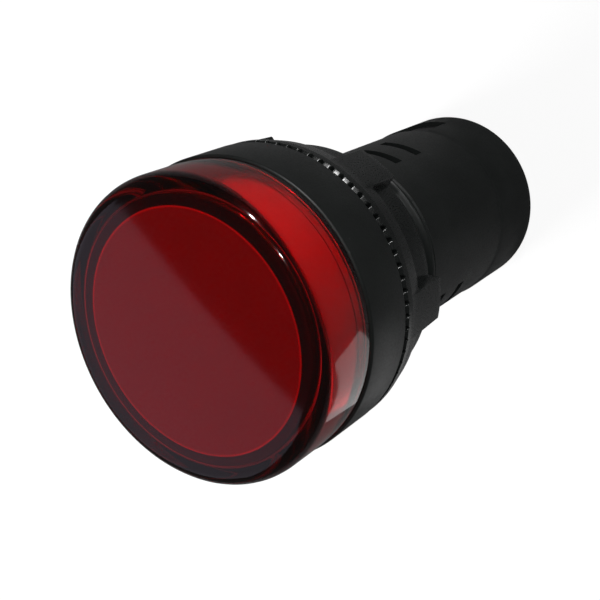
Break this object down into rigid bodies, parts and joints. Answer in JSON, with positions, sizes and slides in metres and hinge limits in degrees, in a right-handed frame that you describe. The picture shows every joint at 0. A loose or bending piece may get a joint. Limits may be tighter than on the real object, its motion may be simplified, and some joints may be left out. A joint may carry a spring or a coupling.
{
  "type": "panel pilot light",
  "caption": "Round red indicator light for a panel hole: clear cap on a black bezel, threaded barrel with toothed nut, slotted rear body and screw terminals in the rear end.",
  "frame": {"origin": "centre of the back face of the bezel, which seats on the panel", "axes": "+Z along the axis toward the lens; -Z points to the terminals; +X through the middle of a latch window"},
  "size_m": [0.029, 0.029, 0.052],
  "materials": {
    "lens_red": "clear red moulded polycarbonate, polished",
    "diffuser_red": "translucent red moulding, satin",
    "board_white": "white solder mask",
    "led_package": "white package with pale gel",
    "housing_black": "fine-grained black moulding",
    "gasket_rubber": "soft black rubber",
    "nut_black": "black moulding, a little glossier than the housing",
    "block_black": "black moulding",
    "contact_brass": "stamped brass",
    "plated_steel": "zinc-plated steel",
    "board_green": "green solder mask",
    "film_yellow": "yellow moulded box",
    "can_blue": "dark blue sleeve",
    "rectifier_black": "black moulded package",
    "resistor_blue": "pale blue lacquer"
  },
  "bodies": {
    "lamp": {"lens_cap": "lens_red", "diffuser": "diffuser_red", "led_board": "board_white", "led_1": "led_package", "led_2": "led_package", "led_3": "led_package", "led_4": "led_package", "led_5": "led_package", "led_6": "led_package", "housing": "housing_black", "sealing_gasket": "gasket_rubber", "terminal_block": "block_black", "contact_1": "contact_brass", "contact_2": "contact_brass", "driver_board": "board_green", "board_pin_1": "contact_brass", "board_pin_2": "contact_brass", "film_capacitor": "film_yellow", "filter_capacitor": "can_blue", "rectifier": "rectifier_black", "resistor_1": "resistor_blue", "resistor_2": "resistor_blue"},
    "panel_nut": {"panel_nut": "nut_black"},
    "clamp_1": {"clamp_plate_1": "plated_steel"},
    "clamp_2": {"clamp_plate_2": "plated_steel"},
    "screw_1": {"terminal_screw_1": "plated_steel"},
    "screw_2": {"terminal_screw_2": "plated_steel"}
  },
  "joints": [
    {"name": "nut_slide", "type": "slide", "parent": "lamp", "child": "panel_nut", "axis": [0, 0, -1], "range_m": [0, 0.0056]},
    {"name": "clamp_1_slide", "type": "slide", "parent": "lamp", "child": "clamp_1", "axis": [0, 0, -1], "range_m": [0, 0.0022]},
    {"name": "screw_1_turn", "type": "hinge", "parent": "clamp_1", "child": "screw_1", "pos_m": [0, 0.0039, -0.0341], "axis": [0, 0, -1], "range_deg": [0, 1584]},
    {"name": "clamp_2_slide", "type": "slide", "parent": "lamp", "child": "clamp_2", "axis": [0, 0, -1], "range_m": [0, 0.0022]},
    {"name": "screw_2_turn", "type": "hinge", "parent": "clamp_2", "child": "screw_2", "pos_m": [0, -0.0039, -0.0341], "axis": [0, 0, -1], "range_deg": [0, 1584]}
  ],
  "couplings": [
    {"joint": "screw_1_turn", "follows": "clamp_1_slide", "rad_per_m": 12566},
    {"joint": "screw_2_turn", "follows": "clamp_2_slide", "rad_per_m": 12566}
  ]
}
